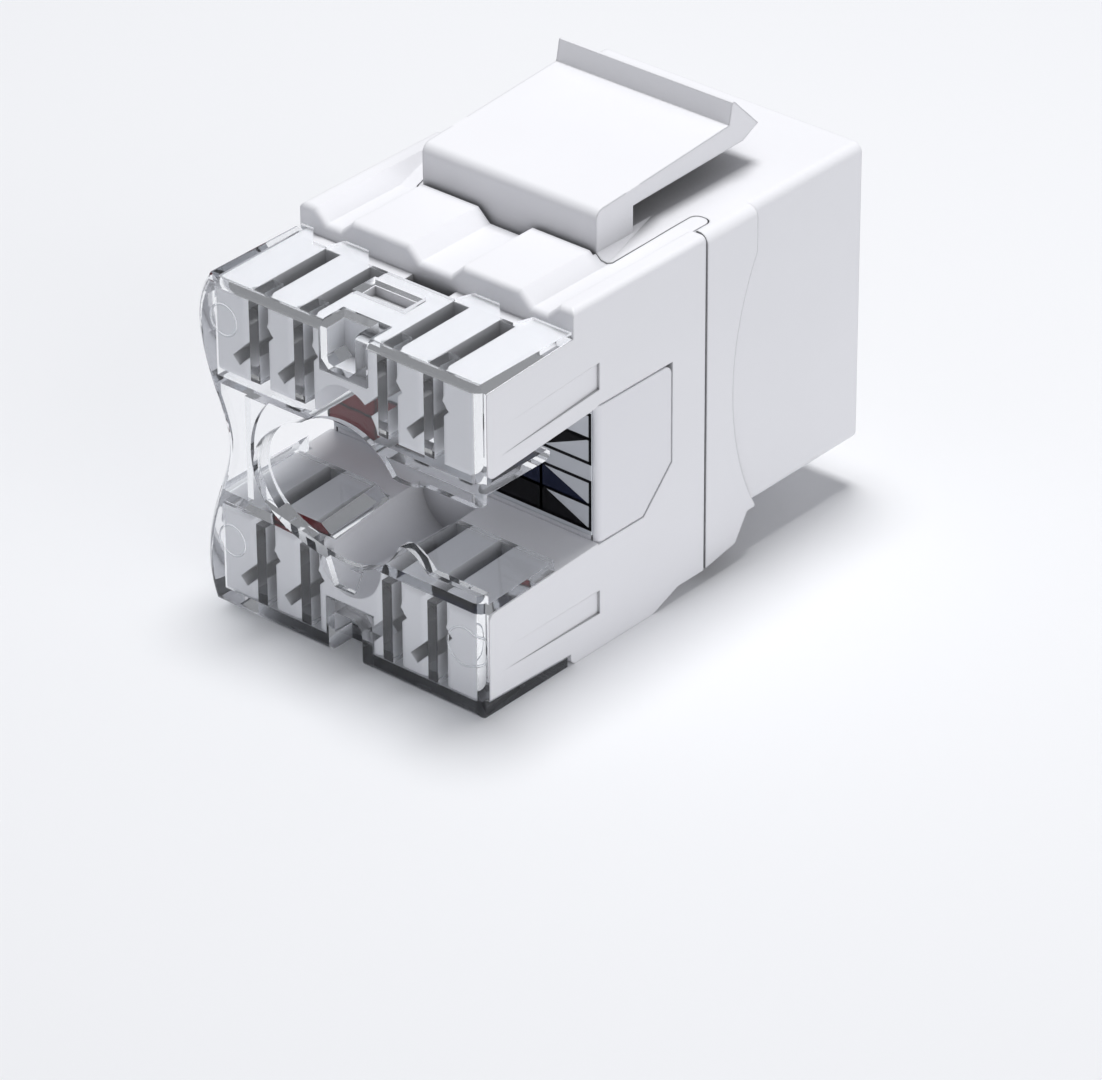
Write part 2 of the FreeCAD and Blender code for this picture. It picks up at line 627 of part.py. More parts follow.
def nose():
    """The part of the front housing that enters the panel."""
    block = centred_box(NOSE_HALF, SEAM_Y, LENGTH, NOSE_LOW_Z, TOP_Z)
    long_edges = rounded(block, NOSE_ROUND, lambda a, b: at(abs(a.x), abs(b.x), NOSE_HALF) and
                         at(a.z, b.z) and not at(a.y, b.y))
    return bevelled(long_edges, NOSE_ROUND / 2, lambda a, b: at(a.y, b.y, LENGTH) and
                    at(a.z, b.z, NOSE_LOW_Z))


def plug_space():
    """The plug opening with its stepped tab slot, and the pocket for the contact carrier."""
    wide, low = PLUG_HALF_WIDTH, PLUG_LOW_Z
    mouth = centred_box(wide, SEAM_Y, LENGTH, low, low + PLUG_HEIGHT)
    tab = centred_box(TAB_WIDTH / 2, TAB_END_Y, LENGTH, low - TAB_HEIGHT, low)
    slot = centred_box(TAB_SLOT_WIDTH / 2, TAB_END_Y, LENGTH, low - TAB_HEIGHT - TAB_SLOT_HEIGHT,
                       low - TAB_HEIGHT)
    pocket = centred_box(wide, SEAM_Y, POCKET_FRONT_Y, low, ROOF_Z)
    size = MOUTH_CHAMFER
    lead_in = Part.makeLoft([
        Part.makePolygon([V(x * (wide + g), y, z) for x, z in
                          ((-1, low - g), (1, low - g), (1, low + PLUG_HEIGHT + g),
                           (-1, low + PLUG_HEIGHT + g), (-1, low - g))])
        for y, g in ((LENGTH - size, 0), (LENGTH, size))], True)
    return [mouth, tab, slot, pocket, lead_in]


def latch_base():
    """The tongue over the rear housing and the upright wall that carries the latch arm."""
    low = TOP_Z - TONGUE_DEPTH
    tongue = without(prism_z(tongue_outline(0), low, TOP_Z), side_valleys())
    wall = prism_x([(TONGUE_REAR_Y, low), (LATCH_ROOT_Y, low), (LATCH_ROOT_Y, LATCH_ROOT_TOP_Z),
                    (TONGUE_REAR_Y, LATCH_REAR_TOP_Z)], -LATCH_HALF, LATCH_HALF)
    wall = rounded(wall, LATCH_ROUND, lambda a, b: at(a.y, b.y, TONGUE_REAR_Y) and
                   at(a.z, b.z, LATCH_REAR_TOP_Z))
    return [tongue, wall]


def seam_joint():
    """The narrow open joint round the sides and the bottom of the seam."""
    front_y = SEAM_Y + SEAM_GAP
    core = centred_box(HALF - SEAM_DEPTH, SEAM_Y, front_y, BELLY_Z + SEAM_DEPTH, TOP_Z)
    return without(centred_box(HALF, SEAM_Y, front_y, 0, TOP_Z), [core])


def front_housing():
    """The front housing with the wall of the latch moulded on."""
    shell = joined([collar(), nose()] + latch_base())
    return without(shell, plug_space() + lugs(SEAT_GAP) + [seam_joint()])


def latch_arm():
    """The springy arm with the hook that snaps behind the panel."""
    outline = [(LATCH_ROOT_Y, LATCH_UNDER_Z), (HOOK_HEEL_Y, HOOK_HEEL_Z), (HOOK_TIP_Y, HOOK_TIP_Z),
               (HOOK_CREST_Y + HOOK_CREST_WIDTH, HOOK_CREST_Z), (HOOK_CREST_Y, HOOK_CREST_Z),
               (HOOK_REAR_Y, HOOK_FOOT_Z), (LATCH_ROOT_Y, LATCH_ROOT_TOP_Z)]
    return prism_x(outline, -LATCH_HALF, LATCH_HALF)


# ---------------------------------------------------------------- small pieces
def label_holder():
    """The insert between the arms, with a D-shaped cheek flush with each side."""
    pieces = [box(-HALF, HALF, GAP_END_Y, HOLDER_BACK_Y, HOLDER_LOW_Z, HOLDER_HIGH_Z)]
    for side in (-1, 1):
        cheek = prism_x(holder_outline(0), side * (HALF - CHEEK_DEPTH), side * HALF)
        pieces.append(rounded(cheek, CHEEK_ROUND, lambda a, b: at(a.y, b.y, CHEEK_END_Y) and
                              at(a.z, b.z, HOLDER_HIGH_Z)))
    holder = rounded(joined(pieces), HOLDER_ROUND, lambda a, b: at(a.y, b.y, GAP_END_Y) and
                     at(abs(a.x), abs(b.x), HALF) and at(a.x, b.x))
    groove_x = HALF - HOLDER_ROUND
    grooves = [box(side * (groove_x - HOLDER_GROOVE), side * groove_x, GAP_END_Y,
                   GAP_END_Y + HOLDER_GROOVE, HOLDER_LOW_Z, HOLDER_HIGH_Z) for side in (-1, 1)]
    return without(holder, grooves)


def wiring_label():
    """The printed sheet that shows the order of the wires."""
    return centred_box(HALF - LABEL_MARGIN, GAP_END_Y - LABEL_THICK, GAP_END_Y,
                       HOLDER_LOW_Z + LABEL_MARGIN, HOLDER_HIGH_Z - LABEL_MARGIN)


def tail_height(index):
    """Height of a spring's tail: the tails stand in two rows."""
    return SPRING_TOP_Z - TAIL_DROP * (index % 2)


def circuit_board():
    """The board that joins the springs to the blades."""
    board = centred_box(BOARD_HALF, BOARD_REAR_Y, BOARD_FRONT_Y, BOARD_LOW_Z, BOARD_HIGH_Z)
    holes = [rod_y(x - BLADE_SHIFT, arm.blade_z, STEM_HOLE_RADIUS, BOARD_REAR_Y, BOARD_FRONT_Y)
             for x in SLOT_XS for arm in ARMS.values()]
    holes += [rod_y(x, tail_height(i), TAIL_HOLE_RADIUS, BOARD_REAR_Y, BOARD_FRONT_Y)
              for i, x in enumerate(SPRING_XS)]
    return without(board, holes)


def contact_carrier():
    """The moulded sled that holds the eight springs apart."""
    wide = CARRIER_HALF
    block_end = CARRIER_REAR_Y + CARRIER_BLOCK
    block = centred_box(wide, CARRIER_REAR_Y, block_end, PLUG_LOW_Z + ROOF_GAP, CARRIER_TOP_Z)
    shelf = centred_box(wide, CARRIER_REAR_Y, SHELF_END_Y, SHELF_LOW_Z, SHELF_HIGH_Z)
    channel = SPRING_WIDTH / 2 + SPRING_GAP
    rails = [box(x0 + channel, x1 - channel, CARRIER_REAR_Y, SHELF_END_Y, SHELF_LOW_Z,
                 CARRIER_TOP_Z) for x0, x1 in zip(SPRING_XS, SPRING_XS[1:])]
    rails += [box(side * (SPRING_XS[-1] + channel), side * wide, CARRIER_REAR_Y, SHELF_END_Y,
                  SHELF_LOW_Z, CARRIER_TOP_Z) for side in (-1, 1)]
    cuts = []
    for i, x in enumerate(SPRING_XS):
        cuts.append(box(x - channel, x + channel, block_end - COMB_DEPTH, block_end,
                        COMB_LOW_Z, COMB_HIGH_Z))
        floor = tail_height(i) - SPRING_THICK / 2 - SPRING_GAP
        cuts.append(box(x - channel, x + channel, CARRIER_REAR_Y, block_end, floor,
                        CARRIER_TOP_Z))
    return without(joined([block, shelf] + rails), cuts)


def idc_contact(x, z):
    """One contact: a fork that bites through the wire's jacket, and its stem."""
    blade = box(x - BLADE_WIDTH / 2, x + BLADE_WIDTH / 2, BLADE_TIP_Y, BLADE_END_Y,
                z - BLADE_THICK / 2, z + BLADE_THICK / 2)
    stem = box(x - STEM_WIDTH / 2, x + STEM_WIDTH / 2, BLADE_END_Y, BOARD_FRONT_Y + STEM_PROUD,
               z - BLADE_THICK / 2, z + BLADE_THICK / 2)
    fork = [(x - FORK_MOUTH / 2, BLADE_TIP_Y), (x + FORK_MOUTH / 2, BLADE_TIP_Y),
            (x + FORK_GAP / 2, BLADE_TIP_Y + FORK_MOUTH), (x + FORK_GAP / 2, FORK_END_Y),
            (x - FORK_GAP / 2, FORK_END_Y), (x - FORK_GAP / 2, BLADE_TIP_Y + FORK_MOUTH)]
    slot = prism_z(fork, z - BLADE_THICK / 2, z + BLADE_THICK / 2)
    return turned_45(without(joined([blade, stem]), [slot]), x, z)


def plug_contact(index):
    """One spring: a tail in the board, a run over the shelf and a slope back into the plug."""
    slope = math.atan2(SPRING_DROP, SHELF_END_Y - SPRING_END_Y)
    turn = math.pi - slope
    front = (SHELF_END_Y + SPRING_BEND * math.tan(turn / 2), SPRING_TOP_Z)
    reach = (front[0] - SPRING_END_Y) * math.tan(slope)
    points = [(SPRING_TAIL_Y, SPRING_TOP_Z), front, (SPRING_END_Y, SPRING_TOP_Z - reach)]
    if index % 2:
        low = tail_height(index)
        knee = CARRIER_REAR_Y + SPRING_BEND
        points = [(SPRING_TAIL_Y, low), (knee, low), (knee + TAIL_DROP, SPRING_TOP_Z)] + points[1:]
    strip = bent_strip(points, SPRING_BEND, SPRING_THICK, SPRING_WIDTH / 2)
    strip.translate(V(SPRING_XS[index], 0, 0))
    return strip


# ---------------------------------------------------------------- clear cap
def cap_outline():
    """The shape that bounds the cap: swollen and waisted on the left, rounded at the rear."""
    side = Part.BSplineCurve()
    side.interpolate([V(x, 0, z) for x, z in (
        (-HALF + SIDE_TOP_INSET, CAP_TOP_Z), (-HALF - BULGE, UPPER_BULGE_Z),
        (-HALF + BEND_INSET, UPPER_BEND_Z), (-HALF + WAIST_DEPTH, MID_Z),
        (-HALF + BEND_INSET, LOWER_BEND_Z), (-HALF - BULGE, LOWER_BULGE_Z),
        (-HALF, CAP_BOTTOM_Z))])
    rest = Part.makePolygon([V(-HALF, 0, CAP_BOTTOM_Z), V(HALF, 0, CAP_BOTTOM_Z),
                             V(HALF, 0, CAP_TOP_Z), V(-HALF + SIDE_TOP_INSET, 0, CAP_TOP_Z)])
    block = Part.Face(Part.Wire([side.toShape()] + rest.Edges)).extrude(
        V(0, TOP_PLATE_END_Y, 0))
    return rounded(block, CAP_ROUND, lambda a, b: at(a.y, b.y, 0))


def window():
    """The opening for the cable: round on the left, bumped and open on the right."""
    beside = BUMP_X + BUMP_RUN
    rim = Part.BSplineCurve()
    rim.interpolate([V(x, 0, z) for x, z in (
        (beside, SILL_Z), (BUMP_X, BUMP_LOW_Z), (HEEL_X, HEEL_Z), (DIP_X, DIP_Z), (HIP_X, HIP_Z),
        (WINDOW_LEFT_X, MID_Z), (SHOULDER_X, SHOULDER_Z), (ARCH_X, ARCH_Z),
        (BUMP_X, BUMP_HIGH_Z), (beside, BROW_Z))])
    sides = Part.makePolygon([V(beside, 0, BROW_Z), V(HALF, 0, BROW_Z), V(HALF, 0, SILL_Z),
                              V(beside, 0, SILL_Z)])
    face = Part.Face(Part.Wire([rim.toShape()] + sides.Edges))
    return face.extrude(V(0, WALL + RIM_DEPTH, 0))


def window_rim():
    """The thicker rim on the inner side of the cable window."""
    ring = rod_y(RIM_X, MID_Z, RIM_RADIUS + RIM_WIDTH, WALL, WALL + RIM_DEPTH)
    keep = box(SIDE_PLATE_X, RIM_X, WALL, WALL + RIM_DEPTH,
               ARMS["lower"].inner(0, SLIDE_GAP), ARMS["upper"].inner(0, SLIDE_GAP))
    return ring.common(keep)


def outer_plate(arm, outer_z, end_y):
    """The plate along the outer face of an arm: flat outside, tapered like the arm inside."""
    outline = [(0, outer_z), (end_y, outer_z), (end_y, arm.outer(end_y, SLIDE_GAP)),
               (0, arm.outer(0, SLIDE_GAP))]
    return prism_x(outline, -HALF - BULGE, HALF)


def top_notches():
    """The notches in the front edge of the top plate: over the slit and the outer slots."""
    half = SLIT_WIDTH / 2 + SLOT_WIDTH + TOP_NOTCH_CUT
    spans = [(-half - SNAP_SHIFT, half - SNAP_SHIFT)]
    spans += [(x - TOP_NOTCH_WIDTH / 2, x + TOP_NOTCH_WIDTH / 2) for x in
              (SLOT_XS[0] - TOP_NOTCH_WIDTH, SLOT_XS[-1])]
    back, front = TOP_PLATE_BACK_Y, TOP_PLATE_END_Y
    return [prism_z([(x0, back), (x1, back), (x1 + TOP_NOTCH_CUT, front),
                     (x0 - TOP_NOTCH_SLANT, front)], UPPER_OUTER_REAR_Z, CAP_TOP_Z)
            for x0, x1 in spans]


def inner_plates():
    """The plates between the arms: a flange under the upper one and a shelf over the lower."""
    top = ARMS["upper"].inner(0, SLIDE_GAP)
    low, nib = top - FLANGE_THICK, FLANGE_THICK / 2
    flange = prism_x([(0, low), (FLANGE_END_Y - nib, low), (FLANGE_END_Y, low + nib / 2),
                      (FLANGE_END_Y, top - nib / 2), (FLANGE_END_Y - nib / 2, top), (0, top)],
                     -HALF - BULGE, HALF)
    under = [(y, ARMS["lower"].inner(y, SLIDE_GAP)) for y in (0, SHELF_PLATE_END_Y)]
    over = [(y, z + SHELF_PLATE_THICK) for y, z in reversed(under)]
    return [flange, prism_x(under + over, -HALF - BULGE, HALF)]


def stuffer(x, arm):
    """One rib that pushes a wire down its slot and into the blade."""
    x_mid = x - STUFFER_SHIFT
    half = STUFFER_WIDTH / 2
    inner_z = arm.inner(ARM_END_Y, -STUFFER_ROUND)
    rib = box(x_mid - half, x_mid + half, 0, STUFFER_END_Y, inner_z, arm.outer(0, SLIDE_GAP))
    return bevelled(rib, STUFFER_ROUND, lambda a, b: at(a.y, b.y, STUFFER_END_Y) and
                    at(a.z, b.z, inner_z))


def grip_floor(side):
    """Height of the finger pocket's floor, seen from the outer face of the upper or lower arm."""
    return CAP_TOP_Z - GRIP_HEIGHT if side > 0 else CAP_BOTTOM_Z + GRIP_HEIGHT


def grip_pocket(side):
    """One finger pocket in the end wall: its walls and its hollow with two bevelled corners."""
    outer_z, floor_z = (CAP_TOP_Z if side > 0 else CAP_BOTTOM_Z), grip_floor(side)
    half = GRIP_WIDTH / 2
    hollow_plan = [(-half, outer_z), (-half, floor_z + side * GRIP_BEVEL),
                   (-half + GRIP_BEVEL, floor_z), (half - GRIP_BEVEL, floor_z),
                   (half, floor_z + side * GRIP_BEVEL), (half, outer_z)]
    walls = centred_box(half + GRIP_WALL, 0, WALL + GRIP_DEPTH + GRIP_WALL,
                        floor_z - side * GRIP_WALL, outer_z)
    return walls, prism_y(hollow_plan, 0, WALL + GRIP_DEPTH)


def nick():
    """The tapered recess in the end wall, above the lower finger pocket."""
    half = NICK_WIDTH / 2
    return prism_y([(-half, NICK_HIGH_Z), (-half + NICK_TAPER, NICK_LOW_Z),
                    (half - NICK_TAPER, NICK_LOW_Z), (half, NICK_HIGH_Z)], 0, NICK_DEPTH)


def termination_cap():
    """The clear cap, moulded in one piece."""
    upper, lower = ARMS["upper"], ARMS["lower"]
    left_x = -HALF - BULGE
    wall = box(left_x, HALF, 0, WALL, CAP_BOTTOM_Z, CAP_TOP_Z)
    side_plate = box(left_x, SIDE_PLATE_X, 0, SIDE_PLATE_END_Y, CAP_BOTTOM_Z, CAP_TOP_Z)
    post = box(left_x, -HALF + WAIST_DEPTH + POST_WIDTH, 0, POST_DEPTH,
               lower.inner(0, SLIDE_GAP), upper.inner(0, SLIDE_GAP))
    plates = [outer_plate(upper, CAP_TOP_Z, TOP_PLATE_END_Y),
              outer_plate(lower, CAP_BOTTOM_Z, BOTTOM_PLATE_END_Y)] + inner_plates()
    ribs = [stuffer(x, arm) for x in SLOT_XS for arm in ARMS.values()]
    grips = [grip_pocket(arm.side) for arm in ARMS.values()]
    cap = joined([wall, side_plate, post, window_rim()] + [walls for walls, _ in grips] +
                 plates + ribs)
    snap = box(-SNAP_SHIFT - SNAP_WIDTH / 2, -SNAP_SHIFT + SNAP_WIDTH / 2, SNAP_REAR_Y,
               SNAP_REAR_Y + SNAP_LONG, upper.outer(SNAP_REAR_Y), CAP_TOP_Z)
    cable = rod_y(0, MID_Z, CABLE_RADIUS, 0, SHELF_PLATE_END_Y)
    hollows = [hollow for _, hollow in grips]
    cap = cap.common(cap_outline())
    return without(cap, hollows + top_notches() + [snap, cable, window(), nick()])


# ---------------------------------------------------------------- all the pieces
def build():
    """Every piece by the name of its node."""
    pieces = {
        "front_housing": front_housing(),
        "latch_arm": latch_arm(),
        "rear_housing": rear_housing(),
        "label_holder": label_holder(),
        "wiring_label": wiring_label(),
        "circuit_board": circuit_board(),
        "contact_carrier": contact_carrier(),
        "termination_cap": termination_cap(),
    }
    for name, arm in ARMS.items():
        for number, x in enumerate(SLOT_XS, 1):
            pieces[f"idc_contact_{name}_{number}"] = idc_contact(x - BLADE_SHIFT, arm.blade_z)
    for index in range(SPRING_COUNT):
        pieces[f"plug_contact_{index + 1}"] = plug_contact(index)
    return pieces


def main():
    """Write each piece to its own file, with the origin under the middle of the part."""
    os.makedirs("parts", exist_ok=True)
    pieces = build()
    bounds = Part.makeCompound(list(pieces.values())).optimalBoundingBox(False)
    print(f"moved by {-bounds.Center.x:.4f}, {-bounds.Center.y:.4f}, {-bounds.ZMin:.4f} mm")
    for name, shape in pieces.items():
        shape.translate(V(-bounds.Center.x, -bounds.Center.y, -bounds.ZMin))
        shape.exportStep(f"parts/{name}.step")
        print(f"{name:26s} {len(shape.Solids)} solid, {shape.Volume:8.2f} mm3")


main()
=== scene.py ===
"""Finishes, printed label and studio for a keystone jack with a clear termination cap.

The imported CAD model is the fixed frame.  X runs across the jack, Y from the clear cap to the plug
opening and Z is up, in metres.  Every moulded, printed or metal piece gets a procedural finish.
"""
from __future__ import annotations

import json
import logging
import math
from dataclasses import dataclass, field
from enum import Enum
from typing import Sequence

import bmesh
import bpy
from mathutils import Matrix, Vector


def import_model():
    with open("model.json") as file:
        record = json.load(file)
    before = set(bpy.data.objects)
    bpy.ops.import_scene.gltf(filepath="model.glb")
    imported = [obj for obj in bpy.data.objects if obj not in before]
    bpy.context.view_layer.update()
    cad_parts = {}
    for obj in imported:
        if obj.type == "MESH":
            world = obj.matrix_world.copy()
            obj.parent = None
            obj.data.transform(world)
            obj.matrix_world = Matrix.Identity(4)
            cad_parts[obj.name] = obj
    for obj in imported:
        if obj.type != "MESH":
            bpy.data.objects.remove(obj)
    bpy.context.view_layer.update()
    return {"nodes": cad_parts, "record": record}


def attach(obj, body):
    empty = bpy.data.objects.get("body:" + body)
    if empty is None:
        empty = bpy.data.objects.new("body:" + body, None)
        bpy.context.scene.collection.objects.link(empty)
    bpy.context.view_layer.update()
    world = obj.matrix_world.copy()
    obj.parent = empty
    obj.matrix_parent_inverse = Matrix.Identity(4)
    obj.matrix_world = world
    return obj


LOG = logging.getLogger("keystone_jack")
MM = 0.001
MIDDLE = Vector((0.2, -12.725, 0.0))   # mm, where the middle of the cap's rear face stands
JOINT_BAND = 0.45                       # mm on each side of a moulding's joint, left unrounded
ROUGHNESS_SPREAD = 0.12                 # how far the mould grain moves the roughness

Colour = tuple[float, float, float]
Point = tuple[float, float]


# ---------------------------------------------------------------- shader tools
@dataclass
class Graph:
    """A node tree with short ways to add and link nodes."""

    tree: bpy.types.NodeTree

    def add(self, kind: str, **values: object) -> bpy.types.Node:
        """Adds a node and sets its properties.

        Args:
            kind: The node's type name.
            **values: Properties to set on the node.

        Returns:
            The new node.
        """
        node = self.tree.nodes.new(kind)
        for name, value in values.items():
            setattr(node, name, value)
        return node

    def link(self, source: bpy.types.NodeSocket, target: bpy.types.NodeSocket) -> None:
        """Links an output socket to an input socket."""
        self.tree.links.new(source, target)

    def math(self, operation: str, first: object, second: object = 0.0) -> bpy.types.NodeSocket:
        """Adds a math node.

        Args:
            operation: The name of the operation.
            first: A socket or a number.
            second: A socket or a number.

        Returns:
            The node's value output.
        """
        node = self.add("ShaderNodeMath", operation=operation)
        for socket, value in zip(node.inputs, (first, second)):
            if isinstance(value, bpy.types.NodeSocket):
                self.link(value, socket)
            else:
                socket.default_value = value
        return node.outputs[0]

    def noise(self, place: bpy.types.NodeSocket, scale: float | bpy.types.NodeSocket,
              detail: float = 3.0) -> bpy.types.NodeSocket:
        """Adds a noise texture.

        Args:
            place: The coordinates it reads.
            scale: Cells to the metre, as a number or a socket.
            detail: Octaves.

        Returns:
            The noise value, from 0 to 1.
        """
        node = self.add("ShaderNodeTexNoise")
        node.inputs["Detail"].default_value = detail
        self.link(place, node.inputs["Vector"])
        if isinstance(scale, bpy.types.NodeSocket):
            self.link(scale, node.inputs["Scale"])
        else:
            node.inputs["Scale"].default_value = scale
        return node.outputs["Fac"]


def group(name: str, inputs: Sequence[tuple[str, str, object]],
          outputs: Sequence[tuple[str, str]]) -> tuple[bpy.types.NodeTree, Graph,
                                                       bpy.types.Node, bpy.types.Node]:
    """Starts a shader node group.

    Args:
        name: The group's name.
        inputs: Name, socket type and default of each input.
        outputs: Name and socket type of each output.

    Returns:
        The tree, its graph, and its input and output nodes.
    """
    tree = bpy.data.node_groups.new(name, "ShaderNodeTree")
    for label, kind, value in inputs:
        socket = tree.interface.new_socket(label, in_out="INPUT", socket_type=kind)
        socket.default_value = value
    for label, kind in outputs:
        tree.interface.new_socket(label, in_out="OUTPUT", socket_type=kind)
    graph = Graph(tree)
    return tree, graph, graph.add("NodeGroupInput"), graph.add("NodeGroupOutput")


def mould_grain() -> bpy.types.NodeTree:
    """The group that gives moulded plastic its faint clouding and fine spark texture.

    Returns:
        The node group, with Colour, Roughness and Height outputs.
    """
    tree, graph, given, made = group(
        "Mould grain",
        [("Colour", "NodeSocketColor", (0.8, 0.8, 0.8, 1)), ("Clouding", "NodeSocketFloat", 0.03),
         ("Roughness", "NodeSocketFloat", 0.4), ("Cell scale", "NodeSocketFloat", 9000.0)],
        [("Colour", "NodeSocketColor"), ("Roughness", "NodeSocketFloat"),
         ("Height", "NodeSocketFloat")])
    place = graph.add("ShaderNodeTexCoord").outputs["Object"]
    cloud = graph.noise(place, 220.0, 4.0)
    grain = graph.noise(place, given.outputs["Cell scale"], 2.0)
    shade = graph.math("MULTIPLY", graph.math("SUBTRACT", cloud, 0.5), given.outputs["Clouding"])
    level = graph.math("ADD", shade, 1.0)
    scaled = graph.add("ShaderNodeVectorMath", operation="SCALE")
    graph.link(given.outputs["Colour"], scaled.inputs[0])
    graph.link(level, scaled.inputs["Scale"])
    graph.link(scaled.outputs[0], made.inputs["Colour"])
    rough = graph.math("MULTIPLY", graph.math("SUBTRACT", grain, 0.5), ROUGHNESS_SPREAD)
    graph.link(graph.math("ADD", rough, given.outputs["Roughness"]), made.inputs["Roughness"])
    graph.link(grain, made.inputs["Height"])
    return tree


# ---------------------------------------------------------------- finishes
def blank_material(name: str) -> tuple[bpy.types.Material, Graph, bpy.types.Node, bpy.types.Node]:
    """Makes a material with a Principled shader wired to its output.

    Args:
        name: The material's name.

    Returns:
        The material, its graph, the shader node and the output node.
    """
    material = bpy.data.materials.new(name)
    material.use_nodes = True
    material.node_tree.nodes.clear()
    graph = Graph(material.node_tree)
    shader = graph.add("ShaderNodeBsdfPrincipled")
    output = graph.add("ShaderNodeOutputMaterial")
    graph.link(shader.outputs[0], output.inputs["Surface"])
    return material, graph, shader, output


@dataclass(frozen=True)
class MouldedPlastic:
    """An opaque moulded plastic with a fine spark-eroded surface and painted shade in its gaps.
    Its lengths are in mm.
    """

    name: str
    colour: Colour
    roughness: float = 0.42
    clouding: float = 0.04
    grain_depth: float = 0.003
    edge_radius: float = 0.09
    painted_crevice_shade: float = 0.74           # how much darker the painted shade makes the deepest gaps
    painted_shade_reach: float = 2.2
    shade_own_faces_only: bool = True           # whether only the piece's own faces cast its painted gap shade
    painted_shade_span: Point = (0.2, 0.75)   # openness where the painted shade is darkest, and where it ends
    shine: float = 0.5
    joint_y: float | None = None

    def material(self, grain: bpy.types.NodeTree) -> bpy.types.Material:
        """Builds the material.

        Args:
            grain: The mould grain group.

        Returns:
            The material.
        """
        material, graph, shader, _ = blank_material(self.name)
        texture = graph.add("ShaderNodeGroup", node_tree=grain)
        texture.inputs["Colour"].default_value = (*self.colour, 1)
        texture.inputs["Clouding"].default_value = self.clouding
        texture.inputs["Roughness"].default_value = self.roughness
        # the base colour carries painted shade in gaps and slots
        graph.link(self.paint_gap_shade(graph, texture.outputs["Colour"]), shader.inputs["Base Color"])
        graph.link(texture.outputs["Roughness"], shader.inputs["Roughness"])
        bump = graph.add("ShaderNodeBump")
        bump.inputs["Strength"].default_value = 0.25
        bump.inputs["Distance"].default_value = self.grain_depth * MM
        if self.edge_radius:
            graph.link(self.soft_edges(graph), bump.inputs["Normal"])
        graph.link(texture.outputs["Height"], bump.inputs["Height"])
        graph.link(bump.outputs["Normal"], shader.inputs["Normal"])
        shader.inputs["IOR"].default_value = 1.5
        shader.inputs["Specular IOR Level"].default_value = self.shine
        return material

    def soft_edges(self, graph: Graph) -> bpy.types.NodeSocket:
        """Rounds the sharp edges, but not where two nodes of one moulding meet.

        Args:
            graph: The material's graph.

        Returns:
            The rounded normal.
        """
        soft = graph.add("ShaderNodeBevel", samples=4)
        soft.inputs["Radius"].default_value = self.edge_radius * MM
        if self.joint_y is None:
            return soft.outputs["Normal"]
        place = graph.add("ShaderNodeSeparateXYZ")
        graph.link(graph.add("ShaderNodeTexCoord").outputs["Object"], place.inputs[0])
        near = graph.math("COMPARE", place.outputs["Y"], to_frame(0, self.joint_y, 0).y)
        near.node.inputs[2].default_value = JOINT_BAND * MM
        mix = graph.add("ShaderNodeMix", data_type="VECTOR")
        graph.link(near, mix.inputs["Factor"])
        graph.link(soft.outputs["Normal"], mix.inputs[4])
        graph.link(graph.add("ShaderNodeNewGeometry").outputs["Normal"], mix.inputs[5])
        return mix.outputs[1]

    def paint_gap_shade(self, graph: Graph, colour: bpy.types.NodeSocket) -> bpy.types.NodeSocket:
        """Paints shade into a colour in narrow gaps and slots, darkening it where light reaches
        less.

        Args:
            graph: The material's graph.
            colour: The colour in the open.

        Returns:
            The colour with its crevices.
        """
        if not self.painted_crevice_shade:
            return colour
        # painted shade: ambient occlusion darkens the base colour in gaps and slots
        near = graph.add("ShaderNodeAmbientOcclusion", samples=6, only_local=self.shade_own_faces_only)
        near.inputs["Distance"].default_value = self.painted_shade_reach * MM
        shade_level = graph.add("ShaderNodeMapRange")
        darkest, clear = self.painted_shade_span
        for label, value in (("From Min", darkest), ("From Max", clear),
                             ("To Min", 1 - self.painted_crevice_shade), ("To Max", 1.0)):
            shade_level.inputs[label].default_value = value
        graph.link(near.outputs["AO"], shade_level.inputs["Value"])
        painted_shade = graph.add("ShaderNodeVectorMath", operation="SCALE")
        graph.link(colour, painted_shade.inputs[0])
        graph.link(shade_level.outputs["Result"], painted_shade.inputs["Scale"])
        return painted_shade.outputs[0]


